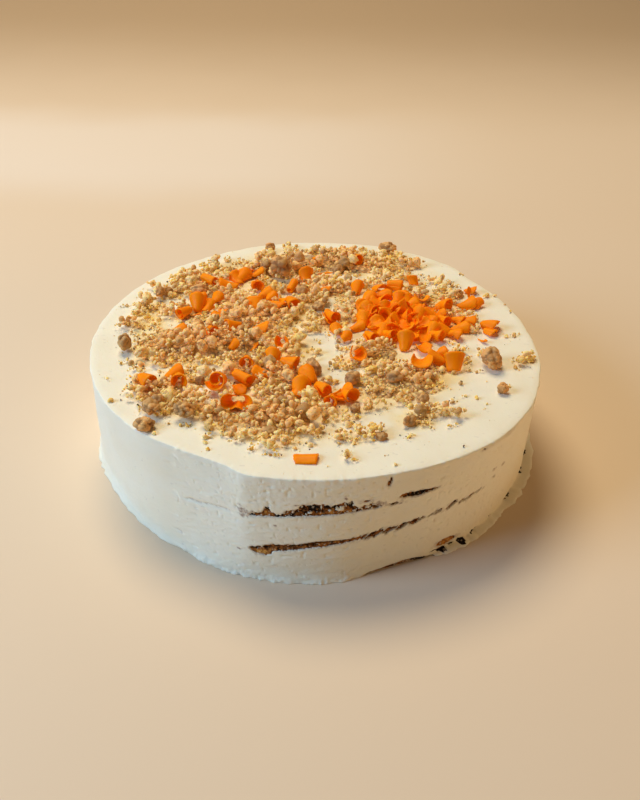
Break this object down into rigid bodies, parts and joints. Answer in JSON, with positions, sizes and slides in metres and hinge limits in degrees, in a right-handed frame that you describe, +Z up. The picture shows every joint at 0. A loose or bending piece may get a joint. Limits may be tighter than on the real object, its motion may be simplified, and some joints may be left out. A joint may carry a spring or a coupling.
{
  "type": "carrot cake",
  "caption": "Round carrot cake with two sponge layers, scraped cream frosting, crushed walnuts and orange chocolate curls on top.",
  "frame": {"origin": "centre of the cake's base, on the surface it stands on", "axes": "+Z up; -Y is the front, where the sponge shows through the frosting"},
  "size_m": [0.2875, 0.2862, 0.0923],
  "materials": {
    "cream": "matte whipped cream frosting, scraped smooth, warm white",
    "sponge": "dark orange-brown open crumb of baked carrot sponge",
    "crushed_walnut": "crushed walnuts, tan flesh with brown skin flecks and golden meal",
    "walnut_skin": "broken walnut pieces, brown skin over tan flesh",
    "orange_chocolate": "thin rolled curls of orange coloured white chocolate, satin"
  },
  "bodies": {
    "root": {"frosting": "cream", "sponge_lower": "sponge", "cream_filling": "cream", "sponge_upper": "sponge", "walnut_bed": "crushed_walnut", "curl_heap": "orange_chocolate", "walnut_01": "walnut_skin", "walnut_02": "walnut_skin", "walnut_03": "walnut_skin", "walnut_04": "walnut_skin", "walnut_05": "walnut_skin", "walnut_06": "walnut_skin", "walnut_07": "walnut_skin", "walnut_08": "walnut_skin", "walnut_09": "walnut_skin", "walnut_10": "walnut_skin", "walnut_11": "walnut_skin", "curl_01": "orange_chocolate", "curl_02": "orange_chocolate", "curl_03": "orange_chocolate", "curl_04": "orange_chocolate", "curl_05": "orange_chocolate", "curl_06": "orange_chocolate", "curl_07": "orange_chocolate", "curl_08": "orange_chocolate", "curl_09": "orange_chocolate", "curl_10": "orange_chocolate", "curl_11": "orange_chocolate", "curl_12": "orange_chocolate", "curl_13": "orange_chocolate", "curl_14": "orange_chocolate", "curl_15": "orange_chocolate", "curl_16": "orange_chocolate", "curl_17": "orange_chocolate", "curl_18": "orange_chocolate", "curl_19": "orange_chocolate", "curl_20": "orange_chocolate", "curl_21": "orange_chocolate", "curl_22": "orange_chocolate", "curl_23": "orange_chocolate", "curl_24": "orange_chocolate", "curl_25": "orange_chocolate", "curl_26": "orange_chocolate", "curl_27": "orange_chocolate", "curl_28": "orange_chocolate", "curl_29": "orange_chocolate", "curl_30": "orange_chocolate", "curl_31": "orange_chocolate", "curl_32": "orange_chocolate", "curl_33": "orange_chocolate", "curl_34": "orange_chocolate", "curl_35": "orange_chocolate", "curl_36": "orange_chocolate", "curl_37": "orange_chocolate", "curl_38": "orange_chocolate", "curl_39": "orange_chocolate", "curl_40": "orange_chocolate", "curl_41": "orange_chocolate", "curl_42": "orange_chocolate", "curl_43": "orange_chocolate"}
  },
  "joints": []
}
